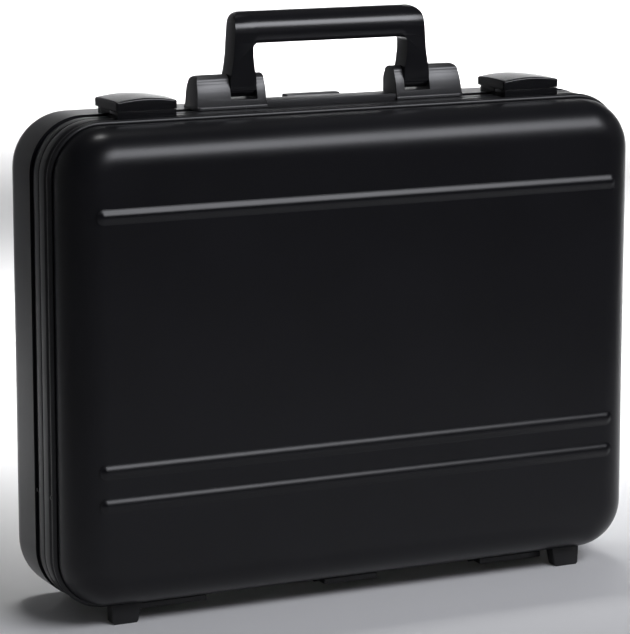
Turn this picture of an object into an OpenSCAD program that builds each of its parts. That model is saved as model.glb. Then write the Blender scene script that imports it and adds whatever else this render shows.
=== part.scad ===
// Hard laptop case: two moulded shells on hinged frames, standing upright, closed and latched.
// Origin: middle of the footprint at the level of the feet. +X runs along the width, +Y towards
// the back of the deep half, +Z up to the handle.

/* [Case] */
// Overall width of the shells
case_w = 461; // [440:1:480]
// Height of the shells, without feet and handle
case_h = 350; // [335:1:365]
// Depth of the closed case, face to face
case_d = 125; // [120:1:132]
// Outer radius of the four corners, seen from the front
corner_r = 40; // [38:1:44]
// Radius of the edge that runs round the front and the rear face
face_r = 28; // [26:1:30]
// Wall thickness of the moulded shells
wall = 3; // [2.5:0.1:3.2]
// Height of the case above the surface it stands on
foot_h = 9.5; // [8:0.5:12]

/* [Opening] */
// Distance of the parting line in front of mid-depth
parting = 11; // [9:0.5:13]
// Height of the lid-stay rivets above the hinge axis
stay_rise = 87; // [80:1:95]
// Distance of the stay rivets from the parting line
stay_side = 13.3; // [13:0.1:13.6]

/* [Handle] */
// Width of the handle across its two legs
handle_w = 155; // [145:1:165]
// Height of the handle above its pivot
handle_rise = 52; // [46:1:56]
// Front-to-back thickness of the handle
handle_t = 17; // [15:0.5:18]
// Radius of the handle's pivot pins
handle_pin_r = 3; // [2.5:0.1:3.5]

/* [Latches] */
// Distance of each latch's middle from the middle of the case
latch_x = 154; // [150:1:160]
// Width of a latch
latch_w = 46; // [40:1:48]
// Front-to-back length of a latch
latch_l = 42; // [40:0.5:44]

/* [Hidden] */
$fn = 64;
gap = 0.3;
fit = 0.05;

// Levels and depth places
top_z = foot_h + case_h;
mid_z = foot_h + case_h / 2;
frame_in = 0.5;
frame_top = top_z - frame_in;
frame_bottom = foot_h + frame_in;
land_top = top_z - 0.75;
shell_top = top_z + 0.05;
step_y = 4.4;
rivet_y = -4;
lid_rivet_y = -18;
shank_r = 1.2;
front_in = 3.5;
front_face = case_d / 2;

// Hinges along the bottom edge
hinge_y = -parting;
hinge_z = frame_bottom - 3.6;
hinge_r = 3.2;
hinge_pin_r = 1.4;
hinge_places = [-139, 4, 139];
hinge_widths = [52, 43, 52];
leaf_t = 4;

// Lid stays: each link is as long as its rivet is from the hinge axis, so the loop stays closed
stay_l = sqrt(stay_rise * stay_rise + stay_side * stay_side);
stay_lean = atan(stay_side / stay_rise);
stay_z = hinge_z + stay_rise;
stay_x = case_w / 2 - 11;
link_t = 1.4;
link_w = 11;
rivet_r = 1.6;

// Handle and its brackets
pivot_y = 4;
pivot_z = frame_top + 16;
hub_r = 8.5;
hub_in = 59.7;
hub_out = 80;
leg_in = 62;
cheek_in = 52.5;
block_out = 106.5;
bracket_y0 = -6;
bracket_d = 22.5;
bracket_r = bracket_d / 2;
bracket_mid = bracket_y0 + bracket_r;
bracket_top = pivot_z + 8.2;
fork_floor = frame_top + 6.3;

// Latches
latch_y0 = -27;
latch_y1 = latch_y0 + latch_l;
cap_z = frame_top + 5.5;
cap_h = 8.5;
cap_wall = 1.5;
cap_pin_y = latch_y1 - 4.6;
cap_pin_z = cap_z + 3;
cap_pin_r = 1.2;
ear_r = 2.6;
plate_z = top_z + 1.7;

// Feet
foot_x = 181;
foot_y = 37.5;
foot_d = 10;

// Raised beads across both faces
bead_z = [296.6, 116.9, 92.6];
bead_half = 201.5;
bead_w = 10.4;
bead_h = 2;

// Stands the outline up: local x is across, local y is height, local z points to the front
module stand() {
    translate([0, 0, mid_z]) rotate([90, 0, 0]) children();
}

// Distance from a corner's centre for a surface that lies i inside the outline
function u(i) = corner_r - i;

// Sweeps a profile of (distance from corner centre, depth) round the case's rounded outline
module ring() {
    half_w = case_w / 2 - corner_r;
    half_h = case_h / 2 - corner_r;
    for (k = [0:3]) {
        sx = [1, -1, -1, 1][k];
        sy = [1, 1, -1, -1][k];
        reach = k % 2 == 0 ? half_w : half_h;
        run = k % 2 == 0 ? half_h : half_w;
        translate([sx * half_w, sy * half_h, 0]) rotate(90 * k) rotate_extrude(angle = 90) children();
        rotate(90 * k) translate([reach, run, 0]) rotate([90, 0, 0]) linear_extrude(2 * run) children();
    }
}

// Section of a dish: outside at inset i, open end at depth d0, face at depth d1, edge radius r
module dish_section(i, d0, d1, r) {
    difference() {
        translate([0, d0]) square([u(i), d1 - d0]);
        translate([u(i) - r, d1 - r]) difference() {
            square(r + 1);
            circle(r);
        }
    }
}

// A moulded dish with walls t thick
module dish(i, d0, d1, r, t) {
    ring() difference() {
        dish_section(i, d0, d1, r);
        dish_section(i + t, d0 - 1, d1 - t, r - t);
    }
    w = case_w - 2 * corner_r;
    h = case_h - 2 * corner_r;
    translate([-w / 2, -h / 2, d1 - t]) cube([w, h, t]);
}

// Closed ring from a list of [inset, depth] points
module ring_of(points) {
    ring() polygon([for (p = points) [u(p[0]), p[1]]]);
}

// One raised bead with round ends, standing on the plane z = 0
module bead() {
    r = (bead_w * bead_w / 4 + bead_h * bead_h) / (2 * bead_h);
    rotate([90, 0, 90]) translate([0, 0, -bead_half]) linear_extrude(2 * bead_half) difference() {
        translate([0, bead_h - r]) circle(r);
        translate([-r - 1, -2 * r - 1]) square([2 * r + 2, 2 * r + 1]);
    }
    for (s = [-1, 1]) translate([s * bead_half, 0, 0]) rotate(-90 * s) rotate_extrude(angle = 180)
        intersection() {
            translate([0, bead_h - r]) circle(r);
            square([r, bead_h + 1]);
        }
}

module beads() {
    for (z = bead_z) translate([0, z - mid_z, front_face - 0.01]) bead();
}

// Side profile of a fitting that is seated on the rear frame and on the shell behind it
module seat(y0, y1, z1) {
    polygon([[y0, land_top], [step_y, land_top], [step_y, shell_top], [y1, shell_top], [y1, z1], [y0, z1]]);
}

// Holes for the stay rivets at both sides
module stay_holes(y) {
    for (s = [-1, 1]) translate([s * (case_w / 2 - 5), y, stay_z]) rotate([0, 90, 0])
        cylinder(r = rivet_r + fit, h = 14, center = true);
}

// Places of the rivets that hold handle fittings, latch parts and hinge leaves
handle_rivets = [-94, -68, -40, 40, 68, 94];
latch_rivets = [-latch_x - 14, -latch_x + 14, latch_x - 14, latch_x + 14];
hinge_rivets = [for (k = [0:2], s = [-1, 1]) hinge_places[k] + s * (hinge_widths[k] / 2 - 9)];

module upright_holes(places, y, z) {
    for (x = places) translate([x, y, z]) cylinder(r = shank_r + fit, h = 7, center = true);
}

// Shells
module rear_shell() {
    color("#16161a") difference() {
        stand() mirror([0, 0, 1]) {
            dish(0, 4.8, front_face, face_r, wall);
            beads();
        }
        for (s = [-1, 1]) translate([s * foot_x, foot_y, foot_h - 1]) cylinder(r = 1.65, h = 3.4);
    }
}

module front_shell() {
    color("#16161a") difference() {
        stand() {
            dish(front_in, 22, front_face, face_r, wall);
            beads();
        }
        stay_holes(hinge_y - stay_side);
        for (s = [-1, 1]) translate([s * foot_x, -foot_y, foot_h + front_in - 1]) cylinder(r = 1.65, h = 3.4);
    }
}

// Frames: channel sections that grip the shells' edges
module front_frame() {
    lip = 30.5;
    face = parting + 0.2;
    color("#2a2a2e") difference() {
        stand() ring_of([
            [2.3, lip], [1.1, lip - 0.6], [frame_in, lip - 1.8], [frame_in, lip - 3.2],
            [2, lip - 4.2], [2, lip - 8.2],
            [0.8, lip - 9.2], [0.8, face + 0.7], [1.3, face],
            [9.5, face], [9.5, lip - 1.5], [7.9, lip - 1.5],
            [7.9, face + 3], [3.4, face + 3], [3.4, lip]
        ]);
        stay_holes(hinge_y - stay_side);
        upright_holes(latch_rivets, lid_rivet_y, top_z - 3);
        upright_holes(hinge_rivets, lid_rivet_y, foot_h + 3);
    }
}

module rear_frame() {
    face = parting - 0.2;
    color("#2a2a2e") difference() {
        stand() ring_of([
            [1.3, face], [0.8, face - 0.7], [0.8, 1.5],
            [2.2, 0.5], [2.2, -4.6],
            [3.1, -4.6], [3.1, -16], [5, -16],
            [5, face - 3], [7.9, face - 3],
            [7.9, -5], [9.5, -5], [9.5, face],
            [7.4, face], [7.4, face - 1.4], [4.8, face - 1.4], [4.8, face]
        ]);
        stay_holes(hinge_y + stay_side);
        upright_holes(handle_rivets, rivet_y, top_z - 3);
        upright_holes(latch_rivets, rivet_y, top_z - 3);
        upright_holes(hinge_rivets, rivet_y, foot_h + 3);
    }
}

module frame_seal() {
    face = parting - 0.2;
    color("#0d0d0f") stand() ring_of([
        [5, face - 1.3], [5, face - 0.3], [5.5, face + 0.15],
        [6.7, face + 0.15], [7.2, face - 0.3], [7.2, face - 1.3]
    ]);
}

// Linings of both halves
module rear_lining() {
    color("#3a3b40") stand() mirror([0, 0, 1]) dish(5.2, 5.5, front_face - 5.2, face_r - 5.2, 1.6);
}

module front_lining() {
    color("#3a3b40") stand() dish(front_in + 3.1, 27, front_face - 3.1, face_r - 3.1, 1.1);
}

// Padded fittings for the computer in the rear half
pad_w = 380;
pad_z0 = 45;
pad_z1 = 325;
pad_back = front_face - 7.1;
pad_front = 32;
module laptop_pad() {
    color("#2e2f33") translate([-pad_w / 2, pad_front, pad_z0])
        cube([pad_w, pad_back - pad_front, pad_z1 - pad_z0]);
}

// Corner blocks that hold the computer's corners
module laptop_bumpers() {
    bumper = 46;
    rim = 14;
    front = -2;
    color("#232327") for (sx = [-1, 1], sz = [-1, 1])
        translate([0, 0, (pad_z0 + pad_z1) / 2]) mirror([sx < 0 ? 1 : 0, 0, 0])
        mirror([0, 0, sz < 0 ? 1 : 0]) translate([pad_w / 2 - bumper, front, (pad_z1 - pad_z0) / 2 - bumper])
        difference() {
            cube([bumper, pad_front - front - gap, bumper]);
            translate([-1, -1, -1]) cube([bumper - rim + 1, pad_front, bumper - rim + 1]);
        }
}

strap_w = 38;
strap_y = pad_front - gap;
module laptop_strap() {
    color("#101012") translate([-strap_w / 2, strap_y - 1.6, pad_z0 + 2])
        cube([strap_w, 1.6, pad_z1 - pad_z0 - 4]);
}

module strap_buckle() {
    w = strap_w + 10;
    h = 30;
    color("#1b1b1f") translate([-w / 2, strap_y - 1.6 - gap - 4, (pad_z0 + pad_z1) / 2 - h / 2])
    difference() {
        cube([w, 4, h]);
        for (z = [6, h - 11]) translate([5, -1, z]) cube([w - 10, 6, 5]);
    }
}

// Organizer in the lid
panel_w = 390;
panel_z0 = 50;
panel_z1 = 322;
panel_back = -(front_face - 4.5);
module organizer_panel() {
    color("#2b2c30") translate([-panel_w / 2, panel_back, panel_z0])
        cube([panel_w, 2.4, panel_z1 - panel_z0]);
}

module document_pocket() {
    depth = 12;
    top = 205;
    color("#242529") translate([-panel_w / 2 + 5, panel_back + 2.5, 0]) difference() {
        translate([0, 0, panel_z0 + 4]) cube([panel_w - 10, depth, top - panel_z0]);
        translate([3, 2, panel_z0 + 8]) cube([panel_w - 16, depth - 4, top]);
    }
}

// Handle: a bail with round hubs that turn between the cheeks of the brackets
module handle_outline() {
    half = handle_w / 2;
    top = pivot_z + handle_rise;
    r = 10;
    difference() {
        polygon([[-hub_out, pivot_z - 10], [-hub_out, pivot_z + 8], [-half, pivot_z + 14],
            [-half + 1, top - 18], [-half + 3, top - r], [-half + 3, top],
            [half - 3, top], [half - 3, top - r], [half - 1, top - 18],
            [half, pivot_z + 14], [hub_out, pivot_z + 8], [hub_out, pivot_z - 10],
            [hub_in, pivot_z - 10], [hub_in, pivot_z + 8], [leg_in, pivot_z + 12],
            [leg_in, top - 24], [leg_in - 3, top - 21], [3 - leg_in, top - 21], [-leg_in, top - 24],
            [-leg_in, pivot_z + 12], [-hub_in, pivot_z + 8], [-hub_in, pivot_z - 10]]);
        for (s = [-1, 1]) translate([s * (half - 3 - r), top - r]) difference() {
            translate([s > 0 ? 0 : -r - 1, 0]) square(r + 1);
            circle(r);
        }
    }
}

module handle_side() {
    top = pivot_z + handle_rise;
    front_r = 8;
    back_r = 5;
    circle_y = pivot_z;
    translate([pivot_y, circle_y]) circle(hub_r);
    translate([pivot_y - handle_t / 2, circle_y]) difference() {
        square([handle_t, handle_rise]);
        translate([front_r, handle_rise - front_r]) difference() {
            translate([-front_r - 1, 0]) square(front_r + 1);
            circle(front_r);
        }
        translate([handle_t - back_r, handle_rise - back_r]) difference() {
            square(back_r + 1);
            circle(back_r);
        }
    }
}

module handle_grip() {
    color("#141418") difference() {
        intersection() {
            translate([0, pivot_y + handle_t, 0]) rotate([90, 0, 0]) linear_extrude(2 * handle_t)
                handle_outline();
            translate([-handle_w, 0, 0]) rotate([90, 0, 90]) linear_extrude(2 * handle_w) handle_side();
        }
        translate([-handle_w, pivot_y, pivot_z]) rotate([0, 90, 0])
            cylinder(r = handle_pin_r + fit, h = 2 * handle_w);
    }
}

// Bracket: a wide outer block and a slim inner cheek on one base, drawn for the right side
module bracket_side() {
    seat(bracket_y0, bracket_y0 + bracket_d, bracket_top - bracket_r);
    translate([bracket_mid, bracket_top - bracket_r]) circle(bracket_r);
}

module bracket_outline() {
    lean = 1.8;
    r = 4;
    top = bracket_top + 1;
    low = frame_top - 2;
    difference() {
        polygon([[cheek_in, low], [cheek_in, top], [hub_in - gap, top], [hub_in - gap, fork_floor],
            [hub_out + gap, fork_floor], [hub_out + gap, top], [block_out - lean, top],
            [block_out, frame_top + 4], [block_out + 0.8, frame_top + 1], [block_out + 0.8, low]]);
        translate([block_out - lean - r, bracket_top - r]) difference() {
            square(r + 2);
            circle(r);
        }
    }
}

module bracket(side) {
    color("#19191d") mirror([side < 0 ? 1 : 0, 0, 0]) difference() {
        intersection() {
            translate([0, bracket_y0 + bracket_d + 5, 0]) rotate([90, 0, 0])
                linear_extrude(bracket_d + 10) bracket_outline();
            rotate([90, 0, 90]) linear_extrude(handle_w) bracket_side();
        }
        translate([cheek_in - 1, pivot_y, pivot_z]) rotate([0, 90, 0])
            cylinder(r = handle_pin_r + fit, h = hub_out + 14 - cheek_in);
        upright_holes([68, 94], rivet_y, land_top);
    }
}

module handle_bracket_left() {
    bracket(-1);
}

module handle_bracket_right() {
    bracket(1);
}

module handle_pin(side) {
    x0 = cheek_in + 0.5;
    color("#8c8c90") mirror([side < 0 ? 1 : 0, 0, 0]) translate([x0, pivot_y, pivot_z]) rotate([0, 90, 0])
        cylinder(r = handle_pin_r, h = hub_out + 12 - x0);
}

module handle_pin_left() {
    handle_pin(-1);
}

module handle_pin_right() {
    handle_pin(1);
}

// Reinforcing strip between the brackets
module handle_base_strip() {
    half = cheek_in - gap;
    color("#1c1c20") difference() {
        translate([-half, 0, 0]) rotate([90, 0, 90]) linear_extrude(2 * half)
            seat(bracket_y0 + 0.5, bracket_y0 + bracket_d - 2.5, frame_top + 4.6);
        upright_holes([-40, 40], rivet_y, land_top);
    }
}

// Pad behind the brackets on which the folded handle rests
module handle_rest_pad() {
    w = 43;
    color("#0f0f11") translate([-w / 2, 0, 0]) rotate([90, 0, 90]) linear_extrude(w)
        polygon([[25, shell_top], [34.4, shell_top], [34.4, shell_top + 3.4], [33, shell_top + 3.8],
            [26, shell_top + 3.8], [25, shell_top + 2.8]]);
}

// Rivets: the head sits in the frame's channel, the shank runs up into the fitting
module upright_rivets(places, y, z, up) {
    for (x = places) translate([x, y, z]) mirror([0, 0, up > 0 ? 0 : 1]) {
        translate([0, 0, -0.8]) cylinder(r = shank_r + 0.9, h = 0.8);
        cylinder(r = shank_r, h = abs(up));
    }
}

module handle_rivets() {
    color("#6e6e72") upright_rivets(handle_rivets, rivet_y, top_z - 5.1, 7);
}

// Latch: base plate with ears on the rear half
module latch_base(x) {
    ear = 3;
    half = latch_w / 2 - cap_wall - gap;
    color("#232327") translate([x, 0, 0]) difference() {
        union() {
            translate([-half, 0, 0]) rotate([90, 0, 90]) linear_extrude(2 * half)
                seat(hinge_y + 1, latch_y1 - 2, plate_z);
            for (s = [-1, 1]) translate([s * (half - ear / 2) - ear / 2, 0, 0]) rotate([90, 0, 90])
                linear_extrude(ear) {
                    polygon([[hinge_y + 1, plate_z - 0.5], [hinge_y + 1, cap_z - 0.3],
                        [cap_pin_y - ear_r, cap_z - 0.3], [cap_pin_y - ear_r, cap_pin_z],
                        [cap_pin_y + ear_r, cap_pin_z], [cap_pin_y + ear_r, plate_z - 0.5]]);
                    translate([cap_pin_y, cap_pin_z]) circle(ear_r);
                }
        }
        translate([-half - 1, cap_pin_y, cap_pin_z]) rotate([0, 90, 0])
            cylinder(r = cap_pin_r + fit, h = 2 * half + 2);
        upright_holes([-14, 14], rivet_y, land_top - 1.5);
    }
}

module latch_base_left() {
    latch_base(-latch_x);
}

module latch_base_right() {
    latch_base(latch_x);
}

// Latch cap: a crowned cover that turns up about the pin at its rear
module latch_cap(x) {
    crown = 180;
    edge = 2.4;
    half = latch_w / 2;
    color("#16161a") translate([x, 0, 0]) difference() {
        intersection() {
            translate([0, latch_y1, 0]) rotate([90, 0, 0]) linear_extrude(latch_l) intersection() {
                translate([-half, cap_z]) square([latch_w, cap_h + 1]);
                translate([0, cap_z + cap_h - crown]) circle(crown, $fn = 256);
            }
            translate([-half - 1, 0, 0]) rotate([90, 0, 90]) linear_extrude(latch_w + 2) difference() {
                translate([latch_y0, cap_z - 1]) square([latch_l, cap_h + 1.4]);
                translate([latch_y0 + edge, cap_z + cap_h + 0.4 - edge]) difference() {
                    translate([-edge - 1, 0]) square(edge + 1);
                    circle(edge);
                }
            }
        }
        translate([-half + cap_wall, latch_y0 + cap_wall, cap_z - 1])
            cube([latch_w - 2 * cap_wall, latch_l - 2 * cap_wall, 7]);
        for (s = [-1, 1]) translate([s * (half - cap_wall - 2) - 2, cap_pin_y, cap_z - 1]) cube([4, 10, 7]);
        translate([-half + 0.6, cap_pin_y, cap_pin_z]) rotate([0, 90, 0])
            cylinder(r = cap_pin_r + fit, h = latch_w - 1.2);
    }
}

module latch_cap_left() {
    latch_cap(-latch_x);
}

module latch_cap_right() {
    latch_cap(latch_x);
}

// Keeper on the lid's frame, under the front of the cap
module latch_keeper(x) {
    w = latch_w - 1.4;
    y0 = latch_y0 + 0.4;
    y1 = hinge_y - 1;
    color("#232327") translate([x, 0, 0]) difference() {
        translate([-w / 2, y0, land_top]) cube([w, y1 - y0, cap_z - 0.5 - land_top]);
        translate([-7, y0 + 2, land_top + 2]) cube([14, 4.4, 5]);
        upright_holes([-14, 14], lid_rivet_y, land_top);
    }
}

module latch_keeper_left() {
    latch_keeper(-latch_x);
}

module latch_keeper_right() {
    latch_keeper(latch_x);
}

module latch_pin(x) {
    half = latch_w / 2 - 0.8;
    color("#8c8c90") translate([x - half, cap_pin_y, cap_pin_z]) rotate([0, 90, 0])
        cylinder(r = cap_pin_r, h = 2 * half);
}

module latch_pin_left() {
    latch_pin(-latch_x);
}

module latch_pin_right() {
    latch_pin(latch_x);
}

// Flat spring under the cap, held on the base
module latch_spring(x) {
    w = 12;
    t = 0.5;
    z0 = plate_z + 0.05;
    color("#9a9a9e") translate([x - w / 2, 0, 0]) rotate([90, 0, 90]) linear_extrude(w)
        polygon([[6.5, z0], [6.5, z0 + t], [0, z0 + t], [-7, z0 + 3.2 + t], [-9, z0 + 3.2 + t],
            [-9, z0 + 3.2], [-7, z0 + 3.2], [0, z0]]);
}

module latch_spring_left() {
    latch_spring(-latch_x);
}

module latch_spring_right() {
    latch_spring(latch_x);
}

// Rivets of the latch parts, one group on each half
module latch_rivets_base() {
    color("#6e6e72") upright_rivets(latch_rivets, rivet_y, top_z - 5.1, 6);
}

module latch_rivets_lid() {
    color("#6e6e72") upright_rivets(latch_rivets, lid_rivet_y, top_z - 3.5, 5.4);
}

// Hinge knuckles share the axis: outer two on the base leaf, middle one on the lid leaf
function knuckle(w) = w / 3;

module knuckle_tube(x0, x1) {
    translate([x0, hinge_y, hinge_z]) rotate([0, 90, 0]) cylinder(r = hinge_r, h = x1 - x0);
}

module knuckle_room(x0, x1) {
    translate([x0, hinge_y, hinge_z]) rotate([0, 90, 0]) cylinder(r = hinge_r + 0.5, h = x1 - x0);
}

module pin_bore(w) {
    translate([-w / 2 - 1, hinge_y, hinge_z]) rotate([0, 90, 0])
        cylinder(r = hinge_pin_r + fit, h = w + 2);
}

module base_leaf(k) {
    w = hinge_widths[k];
    n = knuckle(w) / 2;
    top = frame_bottom - 0.05;
    reach = 14;
    color("#1b1b1f") translate([hinge_places[k], 0, 0]) difference() {
        union() {
            difference() {
                translate([-w / 2, hinge_y + 0.3, top - leaf_t + 0.6]) cube([w, reach, leaf_t - 0.6]);
                knuckle_room(-n - 0.3, n + 0.3);
            }
            for (s = [-1, 1]) knuckle_tube(s > 0 ? n + 0.2 : -w / 2, s > 0 ? w / 2 : -n - 0.2);
        }
        pin_bore(w);
        upright_holes([9 - w / 2, w / 2 - 9], rivet_y, top - 2);
    }
}

module lid_leaf(k) {
    w = hinge_widths[k];
    n = knuckle(w) / 2;
    top = frame_bottom - 0.05;
    reach = 19.2;
    color("#1b1b1f") translate([hinge_places[k], 0, 0]) difference() {
        union() {
            difference() {
                translate([-w / 2, hinge_y - reach, top - leaf_t]) cube([w, reach - 0.3, leaf_t]);
                knuckle_room(-w, -n - 0.2 + 0.1);
                knuckle_room(n + 0.1, w);
            }
            knuckle_tube(-n, n);
        }
        pin_bore(w);
        upright_holes([9 - w / 2, w / 2 - 9], lid_rivet_y, top - 2);
    }
}

module hinge_pin(k) {
    w = hinge_widths[k];
    color("#8c8c90") translate([hinge_places[k] - w / 2 + 0.2, hinge_y, hinge_z]) rotate([0, 90, 0])
        cylinder(r = hinge_pin_r, h = w - 0.4);
}

module hinge_base_leaf_left() {
    base_leaf(0);
}

module hinge_base_leaf_middle() {
    base_leaf(1);
}

module hinge_base_leaf_right() {
    base_leaf(2);
}

module hinge_lid_leaf_left() {
    lid_leaf(0);
}

module hinge_lid_leaf_middle() {
    lid_leaf(1);
}

module hinge_lid_leaf_right() {
    lid_leaf(2);
}

module hinge_pin_left() {
    hinge_pin(0);
}

module hinge_pin_middle() {
    hinge_pin(1);
}

module hinge_pin_right() {
    hinge_pin(2);
}

// Rivets through the leaves, with round heads below and closed heads in the channel
module leaf_rivet(z0, z1) {
    translate([0, 0, z0 - 0.9]) cylinder(r1 = 1.8, r2 = 2.4, h = 0.9);
    translate([0, 0, z0 - 0.1]) cylinder(r = shank_r, h = z1 + 0.1 - z0);
    translate([0, 0, z1]) cylinder(r = shank_r + 0.9, h = 0.8);
}

module hinge_rivets_base() {
    color("#303034") for (x = hinge_rivets) translate([x, rivet_y, 0])
        leaf_rivet(frame_bottom + 0.5 - leaf_t, foot_h + 5.1);
}

module hinge_rivets_lid() {
    color("#303034") for (x = hinge_rivets) translate([x, lid_rivet_y, 0])
        leaf_rivet(frame_bottom - 0.1 - leaf_t, foot_h + 3.5);
}

// Feet, drawn for the right side of the lid: upright outside, slanted inside
module foot(side, half) {
    in = half > 0 ? 0 : front_in;
    edge_z = foot_h + in + face_r;
    edge_y = front_face - face_r;
    color("#101013") mirror([side < 0 ? 1 : 0, 0, 0]) mirror([0, half < 0 ? 1 : 0, 0]) difference() {
        translate([foot_x, foot_y, 0]) rotate([90, 0, 0]) translate([0, 0, -foot_d / 2])
            linear_extrude(foot_d) polygon([[-12.9, foot_h + 8], [-9.7, 1.5], [-8.6, 0], [8.6, 0],
                [9.8, 1.6], [10.4, foot_h + 8]]);
        translate([-foot_x * 2, edge_y, edge_z]) rotate([0, 90, 0])
            cylinder(r = face_r + 0.05, h = 4 * foot_x, $fn = 96);
        translate([-foot_x * 2, -20, foot_h + in - 0.05]) cube([4 * foot_x, edge_y + 20, 40]);
        if (half < 0) translate([0, 0, frame_bottom - 0.05]) cube([2 * foot_x, 30.7, 20]);
        translate([foot_x, foot_y, -1]) cylinder(r = 3.1, h = 4.2);
        translate([foot_x, foot_y, -1]) cylinder(r = 1.8, h = foot_h + 20);
    }
}

module front_foot_left() {
    foot(-1, -1);
}

module front_foot_right() {
    foot(1, -1);
}

module rear_foot_left() {
    foot(-1, 1);
}

module rear_foot_right() {
    foot(1, 1);
}

// Foot screws: heads sunk in the feet
module foot_screws(half) {
    in = half > 0 ? 0 : front_in;
    color("#6e6e72") for (s = [-1, 1]) translate([s * foot_x, half * foot_y, 0]) {
        translate([0, 0, 1.2]) cylinder(r = 2.8, h = 1.9);
        translate([0, 0, 3.1]) cylinder(r = 1.6, h = foot_h + in - 0.9);
    }
}

module foot_screws_front() {
    foot_screws(-1);
}

module foot_screws_rear() {
    foot_screws(1);
}

// Lid-stay links, flat bars with round ends, drawn in the plane across the case
module link(open_r) {
    difference() {
        union() {
            translate([-link_w / 2, 0, 0]) cube([link_w, stay_l, link_t]);
            cylinder(r = link_w / 2, h = link_t);
            translate([0, stay_l, 0]) cylinder(r = link_w / 2, h = link_t);
        }
        translate([0, 0, -1]) cylinder(r = rivet_r + fit, h = link_t + 2);
        if (open_r > 0) translate([0, stay_l, -1]) cylinder(r = open_r, h = link_t + 2);
    }
}

// Places a link by its inner face, its rivet and its lean from upright
module place_link(x, y, turn) {
    translate([x, y, stay_z]) rotate([turn, 0, 0]) rotate([90, 0, 90]) children();
}

// The base link carries the elbow rivet on which the lid link's open end turns
module base_link(side) {
    color("#77777c") mirror([side < 0 ? 1 : 0, 0, 0])
    place_link(stay_x - link_t, hinge_y + stay_side, stay_lean) {
        link(0);
        translate([0, stay_l, -link_t - 1.1]) cylinder(r = rivet_r, h = 2 * link_t + 0.6);
        translate([0, stay_l, -link_t - 1.8]) cylinder(r = rivet_r + 1.2, h = 0.8);
    }
}

module lid_link(side) {
    color("#77777c") mirror([side < 0 ? 1 : 0, 0, 0])
    place_link(stay_x - 2 * link_t - 0.4, hinge_y - stay_side, -stay_lean) link(rivet_r + 0.4);
}

module stay_base_link_left() {
    base_link(-1);
}

module stay_base_link_right() {
    base_link(1);
}

module stay_lid_link_left() {
    lid_link(-1);
}

module stay_lid_link_right() {
    lid_link(1);
}

// Stay rivets: a dome outside in the frame's groove, a shank and a head inside the link
module stay_rivet(y, inner, groove) {
    outer = case_w / 2 - groove + 0.05;
    translate([inner, y, stay_z]) rotate([0, 90, 0]) cylinder(r = rivet_r, h = outer - inner);
    translate([inner - 0.8, y, stay_z]) rotate([0, 90, 0]) cylinder(r = rivet_r + 1.2, h = 0.8);
    translate([outer, y, stay_z]) rotate([0, 90, 0]) cylinder(r1 = 1.9, r2 = 1.2, h = 1.3);
}

module stay_rivets_base() {
    color("#8c8c90") for (s = [-1, 1]) mirror([s < 0 ? 1 : 0, 0, 0])
        stay_rivet(hinge_y + stay_side, stay_x - link_t - 0.1, 2.2);
}

module stay_rivets_lid() {
    color("#8c8c90") for (s = [-1, 1]) mirror([s < 0 ? 1 : 0, 0, 0])
        stay_rivet(hinge_y - stay_side, stay_x - 2 * link_t - 0.5, 2);
}

rear_shell();
front_shell();
rear_frame();
front_frame();
frame_seal();
rear_lining();
front_lining();
laptop_pad();
laptop_bumpers();
laptop_strap();
strap_buckle();
organizer_panel();
document_pocket();
handle_grip();
handle_base_strip();
handle_bracket_left();
handle_bracket_right();
handle_pin_left();
handle_pin_right();
handle_rest_pad();
handle_rivets();
latch_base_left();
latch_base_right();
latch_cap_left();
latch_cap_right();
latch_keeper_left();
latch_keeper_right();
latch_pin_left();
latch_pin_right();
latch_spring_left();
latch_spring_right();
latch_rivets_base();
latch_rivets_lid();
hinge_base_leaf_left();
hinge_base_leaf_middle();
hinge_base_leaf_right();
hinge_lid_leaf_left();
hinge_lid_leaf_middle();
hinge_lid_leaf_right();
hinge_pin_left();
hinge_pin_middle();
hinge_pin_right();
hinge_rivets_base();
hinge_rivets_lid();
front_foot_left();
front_foot_right();
rear_foot_left();
rear_foot_right();
foot_screws_front();
foot_screws_rear();
stay_base_link_left();
stay_base_link_right();
stay_lid_link_left();
stay_lid_link_right();
stay_rivets_base();
stay_rivets_lid();
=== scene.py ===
import math

import bmesh
import bpy
from mathutils import Matrix, Vector, noise


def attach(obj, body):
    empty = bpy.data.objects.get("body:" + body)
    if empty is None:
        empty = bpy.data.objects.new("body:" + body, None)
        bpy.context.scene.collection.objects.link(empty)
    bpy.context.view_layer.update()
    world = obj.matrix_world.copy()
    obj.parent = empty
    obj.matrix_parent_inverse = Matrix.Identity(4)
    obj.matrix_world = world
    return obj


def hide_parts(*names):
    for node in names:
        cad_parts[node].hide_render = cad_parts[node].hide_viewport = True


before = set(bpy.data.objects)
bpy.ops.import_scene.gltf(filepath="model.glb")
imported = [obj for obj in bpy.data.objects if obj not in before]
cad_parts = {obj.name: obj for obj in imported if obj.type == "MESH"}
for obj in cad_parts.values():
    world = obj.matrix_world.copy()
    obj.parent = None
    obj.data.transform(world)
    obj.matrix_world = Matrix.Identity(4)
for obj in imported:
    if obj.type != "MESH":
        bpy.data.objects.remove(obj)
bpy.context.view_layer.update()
mm = 0.001
print("frame loaded")

# Camera at the photograph's angle
cameraSize = {
    "place": (-0.9736, -1.9984, 0.6220),
    "tilt": 79.255,
    "turn": -25.719,
    "lens": 174.23,
}
cameraData = bpy.data.cameras.new("studioCamera")
cameraData.lens = cameraSize["lens"]
cameraData.sensor_width = 36
cameraData.clip_end = 50
camera = bpy.data.objects.new("studioCamera", cameraData)
camera.location = cameraSize["place"]
camera.rotation_euler = (math.radians(cameraSize["tilt"]), 0, math.radians(cameraSize["turn"]))
bpy.context.scene.collection.objects.link(camera)
bpy.context.scene.camera = camera
bpy.context.scene.view_settings.view_transform = "Standard"

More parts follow.
